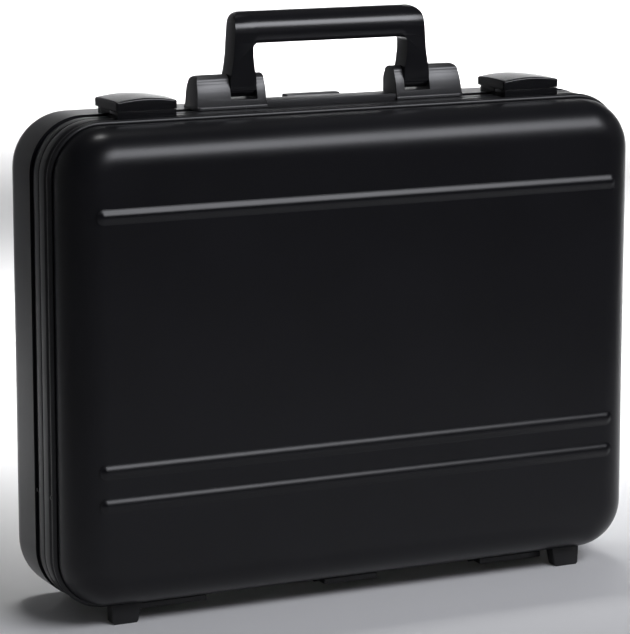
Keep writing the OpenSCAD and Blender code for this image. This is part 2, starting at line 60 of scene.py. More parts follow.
# Case sizes that many pieces share
caseSize = {
    "width": 461 * mm,
    "height": 350 * mm,
    "corner": 40 * mm,
    "middle": 184.5 * mm,
    "face": 62.5 * mm,
}


# Materials
def newFinish(name, color, roughness, specular=0.5, metallic=0.0, sheen=0.0):
    finish = bpy.data.materials.new(name)
    finish.use_nodes = True
    shader = finish.node_tree.nodes["Principled BSDF"]
    shader.inputs["Base Color"].default_value = (*color, 1)
    shader.inputs["Roughness"].default_value = roughness
    shader.inputs["Specular IOR Level"].default_value = specular
    shader.inputs["Metallic"].default_value = metallic
    if sheen:
        shader.inputs["Sheen Weight"].default_value = sheen
        shader.inputs["Sheen Roughness"].default_value = 0.5
    return finish, shader


def addNode(finish, kind, **values):
    node = finish.node_tree.nodes.new(kind)
    for key, value in values.items():
        if key in node.inputs:
            node.inputs[key].default_value = value
        else:
            setattr(node, key, value)
    return node


def join(finish, start, startSocket, end, endSocket):
    finish.node_tree.links.new(start.outputs[startSocket], end.inputs[endSocket])


def objectCoords(finish, stretch=(1, 1, 1)):
    coords = addNode(finish, "ShaderNodeTexCoord")
    mapping = addNode(finish, "ShaderNodeMapping")
    mapping.inputs["Scale"].default_value = stretch
    join(finish, coords, "Object", mapping, "Vector")
    return mapping


def varyColor(finish, shader, source, socket, dark, light, low=0.35, high=0.65):
    ramp = addNode(finish, "ShaderNodeValToRGB")
    ramp.color_ramp.elements[0].position = low
    ramp.color_ramp.elements[0].color = (*dark, 1)
    ramp.color_ramp.elements[1].position = high
    ramp.color_ramp.elements[1].color = (*light, 1)
    join(finish, source, socket, ramp, "Fac")
    join(finish, ramp, "Color", shader, "Base Color")


def varyRoughness(finish, shader, source, socket, low, high):
    spread = addNode(finish, "ShaderNodeMapRange")
    spread.inputs["To Min"].default_value = low
    spread.inputs["To Max"].default_value = high
    join(finish, source, socket, spread, "Value")
    join(finish, spread, "Result", shader, "Roughness")


def addBump(finish, shader, source, socket, distance):
    bump = addNode(finish, "ShaderNodeBump")
    bump.inputs["Distance"].default_value = distance
    bump.inputs["Strength"].default_value = 1.0
    join(finish, source, socket, bump, "Height")
    join(finish, bump, "Normal", shader, "Normal")


# Moulded or coated surface: fine grain, slight cloudiness in gloss and colour
def grainedFinish(name, color, roughness, grain, depth, specular, cloud=0.12):
    finish, shader = newFinish(name, color, roughness, specular)
    mapping = objectCoords(finish)
    fine = addNode(finish, "ShaderNodeTexNoise", Scale=grain, Detail=2.0, Roughness=0.5)
    broad = addNode(finish, "ShaderNodeTexNoise", Scale=14.0, Detail=3.0, Roughness=0.6)
    join(finish, mapping, "Vector", fine, "Vector")
    join(finish, mapping, "Vector", broad, "Vector")
    dark = tuple(c * (1 - cloud) for c in color)
    light = tuple(c * (1 + cloud) for c in color)
    varyColor(finish, shader, broad, "Fac", dark, light)
    varyRoughness(finish, shader, broad, "Fac", roughness * 0.9, roughness * 1.12)
    addBump(finish, shader, fine, "Fac", depth * mm)
    return finish


# Cloth with warp and weft threads
def wovenFinish(name, dark, light, threads, depth, sheen):
    finish, shader = newFinish(name, light, 0.9, 0.2, 0.0, sheen)
    mapping = objectCoords(finish)
    warp = addNode(finish, "ShaderNodeTexWave", Scale=threads, Distortion=0.6, Detail=1.0)
    warp.bands_direction = "X"
    weft = addNode(finish, "ShaderNodeTexWave", Scale=threads, Distortion=0.6, Detail=1.0)
    weft.bands_direction = "Z"
    for wave in (warp, weft):
        wave.inputs["Detail Scale"].default_value = 2.0
        join(finish, mapping, "Vector", wave, "Vector")
    both = addNode(finish, "ShaderNodeMath", operation="MULTIPLY")
    finish.node_tree.links.new(warp.outputs["Fac"], both.inputs[0])
    finish.node_tree.links.new(weft.outputs["Fac"], both.inputs[1])
    fluff = addNode(finish, "ShaderNodeTexNoise", Scale=260.0, Detail=4.0)
    join(finish, mapping, "Vector", fluff, "Vector")
    total = addNode(finish, "ShaderNodeMath", operation="ADD")
    finish.node_tree.links.new(both.outputs[0], total.inputs[0])
    finish.node_tree.links.new(fluff.outputs["Fac"], total.inputs[1])
    varyColor(finish, shader, total, 0, dark, light, 0.4, 1.2)
    addBump(finish, shader, total, 0, depth * mm)
    return finish


# Bare steel drawn or turned along x
def brushedFinish(name, color, roughness):
    finish, shader = newFinish(name, color, roughness, 0.5, 1.0)
    mapping = objectCoords(finish, (40, 900, 900))
    lines = addNode(finish, "ShaderNodeTexNoise", Scale=1.0, Detail=3.0)
    join(finish, mapping, "Vector", lines, "Vector")
    varyColor(finish, shader, lines, "Fac", tuple(c * 0.8 for c in color), color)
    varyRoughness(finish, shader, lines, "Fac", roughness * 0.8, roughness * 1.3)
    addBump(finish, shader, lines, "Fac", 0.01 * mm)
    return finish


shellPlastic = grainedFinish("shellPlastic", (0.0054, 0.0054, 0.0072), 0.30, 1300, 0.012, 0.35)
frameCoat = grainedFinish("frameCoat", (0.008, 0.008, 0.0095), 0.34, 2600, 0.006, 0.44)
handlePlastic = grainedFinish("handlePlastic", (0.006, 0.006, 0.0078), 0.22, 1800, 0.006, 0.5)
latchGloss = grainedFinish("latchGloss", (0.005, 0.005, 0.0065), 0.16, 2400, 0.003, 0.5)
fittingPlastic = grainedFinish("fittingPlastic", (0.012, 0.012, 0.014), 0.40, 1800, 0.006, 1.0)
hingeCoat = grainedFinish("hingeCoat", (0.012, 0.012, 0.013), 0.38, 2200, 0.01, 0.5)
footPlastic = grainedFinish("footPlastic", (0.010, 0.010, 0.011), 0.5, 1400, 0.02, 0.45)
sealRubber = grainedFinish("sealRubber", (0.012, 0.012, 0.012), 0.7, 2000, 0.02, 0.3)
bucklePlastic = grainedFinish("bucklePlastic", (0.014, 0.014, 0.016), 0.4, 1600, 0.02, 0.45)
pinSteel = brushedFinish("pinSteel", (0.55, 0.55, 0.56), 0.32)
springSteel = brushedFinish("springSteel", (0.6, 0.6, 0.62), 0.25)
liningCloth = wovenFinish("liningCloth", (0.030, 0.031, 0.035), (0.060, 0.062, 0.068), 420, 0.08, 0.35)
paddingCloth = wovenFinish("paddingCloth", (0.022, 0.022, 0.025), (0.050, 0.050, 0.056), 300, 0.14, 0.3)
pocketCloth = wovenFinish("pocketCloth", (0.018, 0.018, 0.020), (0.042, 0.042, 0.047), 260, 0.14, 0.3)
webbingCloth = wovenFinish("webbingCloth", (0.010, 0.010, 0.011), (0.028, 0.028, 0.031), 190, 0.25, 0.2)
print("materials ready")


# Shared shaping steps
def place(bm, name, finish, body, slotName, nodes=(), angle=32):
    bmesh.ops.remove_doubles(bm, verts=bm.verts[:], dist=1e-6)
    mesh = bpy.data.meshes.new(name)
    bm.to_mesh(mesh)
    bm.free()
    mesh.materials.append(finish)
    mesh.shade_smooth()
    mesh.set_sharp_from_angle(angle=math.radians(angle))
    piece = bpy.data.objects.new(name, mesh)
    bpy.context.scene.collection.objects.link(piece)
    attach(piece, body)
    if nodes:
        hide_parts(*nodes)
    return piece


def sharpEdges(bm, angle):
    limit = math.radians(angle)
    return [e for e in bm.edges if len(e.link_faces) == 2 and e.calc_face_angle(0) > limit]


def bevelEdges(bm, edges, width, segments=2):
    bmesh.ops.bevel(
        bm, geom=edges, offset=width, offset_type="OFFSET", affect="EDGES", segments=segments,
        profile=0.5, material=-1, clamp_overlap=True,
    )


def newBox(bm, low, high):
    middle = (Vector(low) + Vector(high)) / 2
    size = Vector(high) - Vector(low)
    matrix = Matrix.Translation(middle) @ Matrix.Diagonal((*size, 1))
    bmesh.ops.create_cube(bm, size=1, matrix=matrix)


def sliceAll(bm, axis, places):
    normal = Vector((0, 0, 0))
    normal[axis] = 1
    for value in places:
        geom = bm.verts[:] + bm.edges[:] + bm.faces[:]
        bmesh.ops.bisect_plane(bm, geom=geom, plane_co=normal * value, plane_no=normal, dist=1e-7)


# Carries a profile of (distance outward from the corner centre, y) round a rounded rectangle
def sweepRound(profile, closed=False, outline=None, cuts=(12, 9), cornerSteps=14):
    shape = outline or caseSize
    halfX = shape["width"] / 2 - shape["corner"]
    halfZ = shape["height"] / 2 - shape["corner"]
    middle = shape["middle"]
    bm = bmesh.new()
    verts = [bm.verts.new((halfX + u, y, middle - halfZ)) for u, y in profile]
    edges = [bm.edges.new(pair) for pair in zip(verts, verts[1:])]
    if closed:
        edges.append(bm.edges.new((verts[-1], verts[0])))
    sides = [
        ((0, 0, 2 * halfZ), cuts[1], (halfX, 0, middle + halfZ)),
        ((-2 * halfX, 0, 0), cuts[0], (-halfX, 0, middle + halfZ)),
        ((0, 0, -2 * halfZ), cuts[1], (-halfX, 0, middle - halfZ)),
        ((2 * halfX, 0, 0), cuts[0], (halfX, 0, middle - halfZ)),
    ]
    for run, steps, centre in sides:
        for step in range(steps):
            made = bmesh.ops.extrude_edge_only(bm, edges=edges)["geom"]
            verts = [g for g in made if isinstance(g, bmesh.types.BMVert)]
            fresh = set(verts)
            edges = [
                g for g in made
                if isinstance(g, bmesh.types.BMEdge) and g.verts[0] in fresh and g.verts[1] in fresh
            ]
            bmesh.ops.translate(bm, verts=verts, vec=Vector(run) / steps)
        turned = bmesh.ops.spin(
            bm, geom=verts + edges, cent=centre, axis=(0, -1, 0), angle=math.pi / 2,
            steps=cornerSteps, use_merge=False, use_duplicate=False,
        )["geom_last"]
        verts = [g for g in turned if isinstance(g, bmesh.types.BMVert)]
        edges = [g for g in turned if isinstance(g, bmesh.types.BMEdge)]
    bmesh.ops.remove_doubles(bm, verts=bm.verts[:], dist=2e-6)
    bmesh.ops.dissolve_degenerate(bm, edges=bm.edges[:], dist=1e-7)
    bmesh.ops.recalc_face_normals(bm, faces=bm.faces[:])
    return bm


def arcPoints(centre, radius, start, end, steps):
    angles = [math.radians(start + (end - start) * k / steps) for k in range(steps + 1)]
    return [(centre[0] + radius * math.cos(a), centre[1] + radius * math.sin(a)) for a in angles]


# A dish: side wall, rounded edge and flat face, closed by a grid, then thickened inwards
def roundDish(inset, openY, faceY, radius, wall, cuts=(12, 9), arcSteps=12):
    way = 1 if faceY > 0 else -1
    reach = caseSize["corner"] - inset
    centre = (reach - radius, faceY - way * radius)
    profile = [(reach, openY), *arcPoints(centre, radius, 0, way * 90, arcSteps), (0, faceY)]
    bm = sweepRound(profile, cuts=cuts)
    halfX = caseSize["width"] / 2 - caseSize["corner"]
    halfZ = caseSize["height"] / 2 - caseSize["corner"]
    matrix = (
        Matrix.Translation((0, faceY, caseSize["middle"]))
        @ Matrix.Rotation(math.pi / 2, 4, "X")
        @ Matrix.Diagonal((2 * halfX, 2 * halfZ, 1, 1))
    )
    bmesh.ops.create_grid(bm, x_segments=cuts[0], y_segments=cuts[1], size=0.5, matrix=matrix)
    bmesh.ops.remove_doubles(bm, verts=bm.verts[:], dist=5e-6)
    bmesh.ops.recalc_face_normals(bm, faces=bm.faces[:])
    outer = [f for f in bm.faces if abs(f.calc_center_median().y - faceY) < 1e-5]
    if outer and outer[0].normal.y * way < 0:
        bmesh.ops.reverse_faces(bm, faces=bm.faces[:])
    bmesh.ops.solidify(bm, geom=bm.faces[:], thickness=wall)
    return bm


# Shells with their three raised beads
shellSize = {
    "wall": 3 * mm,
    "edgeRadius": 28 * mm,
    "frontInset": 3.5 * mm,
    "frontOpen": -22 * mm,
    "rearOpen": 4.8 * mm,
    "beadLevels": (296.6 * mm, 116.9 * mm, 92.6 * mm),
    "beadHalf": 201.5 * mm,
    "beadReach": 5.7 * mm,
    "beadFlat": 0.8 * mm,
    "beadHeight": 2.0 * mm,
    "beadSteps": 14,
    "beadSoft": 0.3,
}


def addBead(bm, level, faceY, way):
    s = shellSize
    half = []
    for k in range(s["beadSteps"] + 1):
        r = s["beadReach"] * k / s["beadSteps"]
        out = max(0.0, (r - s["beadFlat"]) / (s["beadReach"] - s["beadFlat"]))
        fall = out - s["beadSoft"] * math.sin(2 * math.pi * out) / (2 * math.pi)
        half.append((r, s["beadHeight"] * (1 - fall) - 0.03 * mm))
    endX = s["beadHalf"]
    verts = [bm.verts.new((endX, faceY + way * h, level + r)) for r, h in half]
    edges = [bm.edges.new(pair) for pair in zip(verts, verts[1:])]
    first = edges
    turned = bmesh.ops.spin(
        bm, geom=verts + edges, cent=(endX, faceY, level), axis=(0, 1, 0), angle=math.pi,
        steps=14, use_merge=False, use_duplicate=False,
    )["geom_last"]
    last = [g for g in turned if isinstance(g, bmesh.types.BMEdge)]
    for rail, spinAxis in ((first, -1), (last, None)):
        made = bmesh.ops.extrude_edge_only(bm, edges=rail)["geom"]
        moved = [g for g in made if isinstance(g, bmesh.types.BMVert)]
        bmesh.ops.translate(bm, verts=moved, vec=(-2 * endX, 0, 0))
        if spinAxis:
            fresh = set(moved)
            rim = [
                g for g in made
                if isinstance(g, bmesh.types.BMEdge) and g.verts[0] in fresh and g.verts[1] in fresh
            ]
            bmesh.ops.spin(
                bm, geom=moved + rim, cent=(-endX, faceY, level), axis=(0, spinAxis, 0),
                angle=math.pi, steps=14, use_merge=False, use_duplicate=False,
            )


def beadIsland(levels, faceY, way):
    bm = bmesh.new()
    for level in levels:
        addBead(bm, level, faceY, way)
    bmesh.ops.remove_doubles(bm, verts=bm.verts[:], dist=4e-6)
    bmesh.ops.dissolve_degenerate(bm, edges=bm.edges[:], dist=1e-7)
    rims = [e for e in bm.edges if len(e.link_faces) == 1]
    bmesh.ops.holes_fill(bm, edges=rims, sides=0)
    bmesh.ops.recalc_face_normals(bm, faces=bm.faces[:])
    return bm


def mergeInto(bm, other):
    scratch = bpy.data.meshes.new("scratch")
    other.to_mesh(scratch)
    other.free()
    bm.from_mesh(scratch)
    bpy.data.meshes.remove(scratch)


def buildShells():
    s = shellSize
    front = roundDish(s["frontInset"], s["frontOpen"], -caseSize["face"], s["edgeRadius"], s["wall"])
    mergeInto(front, beadIsland(s["beadLevels"], -caseSize["face"], -1))
    place(front, "frontShell", shellPlastic, "lid", "case_shell", ["front_shell"], 40)
    rear = roundDish(0, s["rearOpen"], caseSize["face"], s["edgeRadius"], s["wall"])
    mergeInto(rear, beadIsland(s["beadLevels"], caseSize["face"], 1))
    place(rear, "rearShell", shellPlastic, "base", "case_shell", ["rear_shell"], 40)


buildShells()
print("shells built")

# Frames and the seal between them
frameSize = {
    "edge": 0.5 * mm,
    "front": [
        (2.9, -30.5), (2.2, -30.4), (1.55, -30.1), (1.0, -29.6), (0.65, -28.9), (0.5, -28.2),
        (0.5, -27.3), (2, -26.3), (2, -22.3), (0.8, -21.3), (0.8, -11.9), (1.3, -11.2),
        (9.5, -11.2), (9.5, -29), (7.9, -29), (7.9, -14.2), (3.4, -14.2), (3.4, -30.5),
    ],
    "rear": [
        (1.3, -10.8), (0.8, -10.1), (0.8, -1.5), (2.2, -0.5), (2.2, 4.6), (3.1, 4.6), (3.1, 16),
        (5, 16), (5, -7.8), (7.9, -7.8), (7.9, 5), (9.5, 5), (9.5, -10.8), (7.4, -10.8),
        (7.4, -9.4), (4.8, -9.4), (4.8, -10.8),
    ],
    "seal": [
        (5, -9.5), (5, -10.5), (5.35, -10.82), (6.1, -10.95), (6.85, -10.82), (7.2, -10.5), (7.2, -9.5),
    ],
}


def buildRing(name, points, finish, body, slotName, node, edge):
    corner = caseSize["corner"]
    profile = [(corner - inset * mm, y * mm) for inset, y in points]
    bm = sweepRound(profile, closed=True)
    if edge:
        bevelEdges(bm, sharpEdges(bm, 28), edge, 2)
    place(bm, name, finish, body, slotName, [node], 50)


buildRing("frontFrame", frameSize["front"], frameCoat, "lid", "case_frame", "front_frame", frameSize["edge"])
buildRing("rearFrame", frameSize["rear"], frameCoat, "base", "case_frame", "rear_frame", frameSize["edge"])
buildRing("frameSeal", frameSize["seal"], sealRubber, "base", "seal_rubber", "frame_seal", 0)
print("frames built")

# Handle: outline across the case, with the thickness rounded by height
handleSize = {
    "pivotY": 4 * mm,
    "pivotZ": 375 * mm,
    "rise": 52.3 * mm,
    "thick": 17 * mm,
    "hub": 8.5 * mm,
    "frontRound": 14.5 * mm,
    "rearRound": 2.2 * mm,
    "underRound": 7.5 * mm,
    "underDepth": 3.6 * mm,
    "cornerRound": 8 * mm,
    "innerRound": 3 * mm,
    "openTop": 29.8 * mm,
    "openHalf": 62 * mm,
    "edge": 1.1 * mm,
    "half": [
        (59.7, -8.5), (80, -8.5), (80, 3), (79.4, 8), (78.3, 14), (77.3, 21), (76.5, 33), (75, 52.3),
    ],
    "inner": [(62, 29.8), (61.9, 20), (61, 12), (59.9, 6), (59.7, 2)],
}


def buildHandle():
    s = handleSize
    z0, y0 = s["pivotZ"], s["pivotY"]
    frontY, rearY = y0 - s["thick"] / 2, y0 + s["thick"] / 2
    top = z0 + s["rise"]
    right = [(x * mm, z0 + z * mm) for x, z in s["half"]]
    inner = [(x * mm, z0 + z * mm) for x, z in s["inner"]]
    outline = (
        right + [(-x, z) for x, z in reversed(right)] + [(-x, z) for x, z in reversed(inner)] + inner
    )
    bm = bmesh.new()
    face = bm.faces.new([bm.verts.new((x, rearY, z)) for x, z in outline])
    outerCorners = [v for v in bm.verts if abs(v.co.z - top) < 1e-6]
    innerCorners = [v for v in bm.verts if abs(v.co.z - z0 - s["openTop"]) < 1e-6]
    for corners, radius, steps in ((outerCorners, s["cornerRound"], 10), (innerCorners, s["innerRound"], 5)):
        bmesh.ops.bevel(
            bm, geom=corners, offset=radius, offset_type="OFFSET", affect="VERTICES", segments=steps,
            profile=0.5, material=-1, clamp_overlap=True,
        )
    made = bmesh.ops.extrude_face_region(bm, geom=bm.faces[:])["geom"]
    moved = [g for g in made if isinstance(g, bmesh.types.BMVert)]
    bmesh.ops.translate(bm, verts=moved, vec=(0, frontY - rearY, 0))
    bmesh.ops.recalc_face_normals(bm, faces=bm.faces[:])
    steps = [math.sin(math.radians(a)) for a in (0, 10, 20, 30, 40, 50, 60, 70, 80)]
    levels = [top - s["frontRound"] + s["frontRound"] * k for k in steps]
    levels += [top - s["rearRound"] + s["rearRound"] * k for k in steps]
    levels += [z0 - s["hub"] * k for k in steps] + [z0]
    levels += [z0 + s["openTop"] + s["underRound"] * (1 - k) for k in steps]
    sliceAll(bm, 2, levels)
    sliceAll(bm, 0, [way * (s["openHalf"] - k * mm) for way in (-1, 1) for k in (0.5, 1.5, 2.5, 3.5, 4.5)])

    def depthAt(z, roundTop, half):
        if z > top - roundTop:
            rise = min(1, (z - top + roundTop) / roundTop)
            return half - roundTop * (1 - math.sqrt(max(0, 1 - rise * rise)))
        if z < z0:
            drop = min(1, (z0 - z) / s["hub"])
            return half * math.sqrt(max(0.0, 1 - drop * drop))
        return half

    half = s["thick"] / 2
    for v in bm.verts:
        if v.co.y < y0:
            depth = depthAt(v.co.z, s["frontRound"], half)
            down = 1 - (v.co.z - z0 - s["openTop"]) / s["underRound"]
            inside = min(1, max(0, (s["openHalf"] - abs(v.co.x)) / (4.5 * mm)))
            if 0 < down <= 1.001 and inside > 0:
                fade = inside * inside * (3 - 2 * inside)
                depth -= s["underDepth"] * fade * (1 - math.sqrt(max(0, 1 - min(1, down) ** 2)))
            v.co.y = y0 - depth
        else:
            ahead = 0.3 * mm - depthAt(v.co.z, s["frontRound"], half)
            v.co.y = y0 + max(ahead, depthAt(v.co.z, s["rearRound"], half))
    bmesh.ops.dissolve_limit(bm, angle_limit=math.radians(0.3), verts=bm.verts[:], edges=bm.edges[:])
    bevelEdges(bm, sharpEdges(bm, 40), s["edge"], 3)
    place(bm, "handleBail", handlePlastic, "handle", "handle_plastic", ["handle_grip"], 38)


buildHandle()
print("handle built")


# A closer copy of a CAD node: merged, its flat faces cleaned and its edges eased
def easedCopy(node, name, finish, body, slotName, width):
    bm = bmesh.new()
    bm.from_mesh(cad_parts[node].data)
    bmesh.ops.remove_doubles(bm, verts=bm.verts[:], dist=2e-6)
    bmesh.ops.dissolve_limit(bm, angle_limit=math.radians(0.6), verts=bm.verts[:], edges=bm.edges[:])
    bevelEdges(bm, sharpEdges(bm, 28), width)
    place(bm, name, finish, body, slotName, [node], 35)


easedSize = {
    "handle_base_strip": ("handleStrip", fittingPlastic, "base", "fitting_plastic", 0.6 * mm),
    "handle_rest_pad": ("handleRest", fittingPlastic, "base", "fitting_plastic", 0.5 * mm),
    "latch_base_left": ("latchBaseLeft", latchGloss, "base", "fitting_plastic", 0.3 * mm),
    "latch_base_right": ("latchBaseRight", latchGloss, "base", "fitting_plastic", 0.3 * mm),
    "latch_keeper_left": ("latchKeeperLeft", latchGloss, "lid", "fitting_plastic", 0.5 * mm),
    "latch_keeper_right": ("latchKeeperRight", latchGloss, "lid", "fitting_plastic", 0.5 * mm),
    "latch_spring_left": ("latchSpringLeft", springSteel, "base", "spring_steel", 0.08 * mm),
    "latch_spring_right": ("latchSpringRight", springSteel, "base", "spring_steel", 0.08 * mm),
    "hinge_base_leaf_left": ("hingeBaseLeft", hingeCoat, "base", "hinge_metal", 0.3 * mm),
    "hinge_base_leaf_middle": ("hingeBaseMiddle", hingeCoat, "base", "hinge_metal", 0.3 * mm),
    "hinge_base_leaf_right": ("hingeBaseRight", hingeCoat, "base", "hinge_metal", 0.3 * mm),
    "hinge_lid_leaf_left": ("hingeLidLeft", hingeCoat, "lid", "hinge_metal", 0.3 * mm),
    "hinge_lid_leaf_middle": ("hingeLidMiddle", hingeCoat, "lid", "hinge_metal", 0.3 * mm),
    "hinge_lid_leaf_right": ("hingeLidRight", hingeCoat, "lid", "hinge_metal", 0.3 * mm),
    "front_foot_left": ("frontFootLeft", footPlastic, "lid", "foot_plastic", 0.7 * mm),
    "front_foot_right": ("frontFootRight", footPlastic, "lid", "foot_plastic", 0.7 * mm),
    "rear_foot_left": ("rearFootLeft", footPlastic, "base", "foot_plastic", 0.7 * mm),
    "rear_foot_right": ("rearFootRight", footPlastic, "base", "foot_plastic", 0.7 * mm),
    "stay_base_link_left": ("stayBaseLeft", pinSteel, "stay_base_left", "pin_steel", 0.2 * mm),
    "stay_base_link_right": ("stayBaseRight", pinSteel, "stay_base_right", "pin_steel", 0.2 * mm),
    "stay_lid_link_left": ("stayLidLeft", pinSteel, "stay_lid_left", "pin_steel", 0.2 * mm),
    "stay_lid_link_right": ("stayLidRight", pinSteel, "stay_lid_right", "pin_steel", 0.2 * mm),
    "strap_buckle": ("strapBuckle", bucklePlastic, "base", "fitting_plastic", 0.7 * mm),
}
for node, (name, finish, body, slotName, width) in easedSize.items():
    easedCopy(node, name, finish, body, slotName, width)

# Handle brackets: a wide block and a slim cheek, with a front that leans back and a round top
bracketSize = {
    "outline": [
        (52.6, 359.3), (52.6, 384.5), (59.4, 384.5), (59.4, 365.3), (80.3, 365.3), (80.3, 384.5),
        (104.8, 384.5), (106.6, 363), (107.4, 360.2), (107.4, 359.3),
    ],
    "top": 383.2,
    "cornerRound": 4,
    "front": [(359, -6), (363, -5.95), (367, -5.5), (371, -4.7), (374, -3.8), (376.5, -2.8), (378.5, -1.6)],
    "crown": (378.5, 4.7),
    "middle": 5.4,
    "rear": [(359, 16.5), (372, 16.5), (375, 16), (377, 15), (378.5, 13.9)],
    "edge": 0.8 * mm,
}


def alongCurve(points, z):
    for (z0, y0), (z1, y1) in zip(points, points[1:]):
        if z <= z1:
            t = max(0.0, (z - z0) / (z1 - z0))
            return y0 + (y1 - y0) * t
    return points[-1][1]


def buildBracket(side, name, node):
    s = bracketSize
    bm = bmesh.new()
    verts = [bm.verts.new((side * x * mm, 20 * mm, min(z, s["top"]) * mm)) for x, z in s["outline"]]
    bm.faces.new(verts)
    corner = [v for v in bm.verts if v.co.z > 383 * mm and abs(v.co.x) > 100 * mm]
    bmesh.ops.bevel(
        bm, geom=corner, offset=s["cornerRound"] * mm, offset_type="OFFSET", affect="VERTICES", segments=7,
        profile=0.5, material=-1, clamp_overlap=True,
    )
    made = bmesh.ops.extrude_face_region(bm, geom=bm.faces[:])["geom"]
    moved = [g for g in made if isinstance(g, bmesh.types.BMVert)]
    bmesh.ops.translate(bm, verts=moved, vec=(0, -30 * mm, 0))
    bmesh.ops.recalc_face_normals(bm, faces=bm.faces[:])
    crownZ, rise = s["crown"]
    turns = [math.sin(math.radians(a)) for a in (8, 16, 24, 32, 40, 48, 56, 64, 72, 80, 86)]
    levels = [z for z, y in s["front"][1:]] + [372, 375, 377] + [crownZ + rise * k for k in turns]
    sliceAll(bm, 2, [z * mm for z in sorted(set(levels))])
    for v in bm.verts:
        z = v.co.z / mm
        points, way = (s["front"], -1) if v.co.y < 5 * mm else (s["rear"], 1)
        y = alongCurve(points, z)
        if z > crownZ:
            up = min(1, (z - crownZ) / rise)
            y = s["middle"] + (y - s["middle"]) * max(0.02, math.sqrt(max(0, 1 - up * up)))
        v.co.y = y * mm
    bmesh.ops.dissolve_degenerate(bm, edges=bm.edges[:], dist=1e-6)
    bevelEdges(bm, sharpEdges(bm, 42), s["edge"], 3)
    place(bm, name, fittingPlastic, "base", "fitting_plastic", [node], 38)


buildBracket(-1, "bracketLeft", "handle_bracket_left")
buildBracket(1, "bracketRight", "handle_bracket_right")

# Thin moulded flange round the foot of each handle bracket
flangeSize = {"in": 52.4 * mm, "out": 108 * mm, "y": (-7.6 * mm, 18.2 * mm), "z": (359.2 * mm, 361.4 * mm)}
for side, name in ((-1, "flangeLeft"), (1, "flangeRight")):
    s = flangeSize
    bm = bmesh.new()
    edgesX = sorted((side * s["in"], side * s["out"]))
    newBox(bm, (edgesX[0], s["y"][0], s["z"][0]), (edgesX[1], s["y"][1], s["z"][1]))
    upright = [e for e in bm.edges if abs(e.verts[0].co.z - e.verts[1].co.z) > 1 * mm]
    outer = [e for e in upright if abs(e.verts[0].co.x) > 100 * mm]
    bevelEdges(bm, outer, 4 * mm, 5)
    bevelEdges(bm, [e for e in bm.edges if min(v.co.z for v in e.verts) > s["z"][1] - 1e-6], 0.7 * mm, 3)
    place(bm, name, fittingPlastic, "base", "fitting_plastic")
print("fittings eased")

# Latch caps: crowned covers, hollow below
capSize = {
    "x": 154 * mm,
    "wide": 46 * mm,
    "frontY": -27 * mm,
    "rearY": 15 * mm,
    "bottom": 364.5 * mm,
    "height": 8.9 * mm,
    "wall": 1.5 * mm,
    "hollow": 6 * mm,
    "crown": 2.3 * mm,
    "sideRound": 1.6 * mm,
    "topRound": 1.4 * mm,
}


def buildLatchCap(side, name, node):
    s = capSize
    x0 = side * s["x"]
    bm = bmesh.new()
    top = s["bottom"] + s["height"]
    newBox(bm, (x0 - s["wide"] / 2, s["frontY"], s["bottom"]), (x0 + s["wide"] / 2, s["rearY"], top))
    upright = [e for e in bm.edges if abs(e.verts[0].co.z - e.verts[1].co.z) > 1 * mm]
    bevelEdges(bm, upright, s["sideRound"], 4)
    rim = [e for e in bm.edges if min(v.co.z for v in e.verts) > top - 1e-6]
    bevelEdges(bm, rim, s["topRound"], 4)
    floor = [f for f in bm.faces if f.normal.z < -0.9]
    bmesh.ops.inset_region(bm, faces=floor, thickness=s["wall"], use_even_offset=True)
    made = bmesh.ops.extrude_face_region(bm, geom=floor)["geom"]
    moved = [g for g in made if isinstance(g, bmesh.types.BMVert)]
    bmesh.ops.delete(bm, geom=floor, context="FACES")
    bmesh.ops.translate(bm, verts=moved, vec=(0, 0, s["hollow"]))
    middleY = (s["frontY"] + s["rearY"]) / 2
    halfX, halfY = s["wide"] / 2, (s["rearY"] - s["frontY"]) / 2
    sliceAll(bm, 0, [x0 + halfX * k / 8 for k in range(-7, 8)])
    sliceAll(bm, 1, [middleY + halfY * k / 8 for k in range(-7, 8)])
    for v in bm.verts:
        fall = ((v.co.x - x0) / halfX) ** 2 + 0.3 * ((v.co.y - middleY) / halfY) ** 2
        v.co.z -= s["crown"] * fall * (v.co.z - s["bottom"]) / s["height"]
    bmesh.ops.recalc_face_normals(bm, faces=bm.faces[:])
    place(bm, name, latchGloss, "latch_left" if side < 0 else "latch_right", "latch_gloss", [node], 40)


buildLatchCap(-1, "latchCapLeft", "latch_cap_left")
buildLatchCap(1, "latchCapRight", "latch_cap_right")
print("latches built")

# Nodes whose CAD shape is right only take their finish
plainNodes = {
    "handle_pin_left": hingeCoat, "handle_pin_right": hingeCoat, "handle_rivets": pinSteel,
    "latch_pin_left": pinSteel, "latch_pin_right": pinSteel,
    "latch_rivets_base": pinSteel, "latch_rivets_lid": pinSteel,
    "hinge_pin_left": pinSteel, "hinge_pin_middle": pinSteel, "hinge_pin_right": pinSteel,
    "hinge_rivets_base": hingeCoat, "hinge_rivets_lid": hingeCoat,
    "foot_screws_front": pinSteel, "foot_screws_rear": pinSteel,
    "stay_rivets_base": hingeCoat, "stay_rivets_lid": hingeCoat,
}
for node, finish in plainNodes.items():
    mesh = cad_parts[node].data
    mesh.materials.clear()
    mesh.materials.append(finish)
print("small nodes finished")

# Linings of both halves
liningSize = {
    "rear": {"inset": 5.2 * mm, "open": 5.5 * mm, "face": 57.3 * mm, "round": 22.8 * mm, "wall": 1.6 * mm},
    "front": {"inset": 6.6 * mm, "open": -27 * mm, "face": -59.4 * mm, "round": 24.9 * mm, "wall": 1.1 * mm},
    "pucker": 0.2 * mm,
    "puckerScale": 38,
}


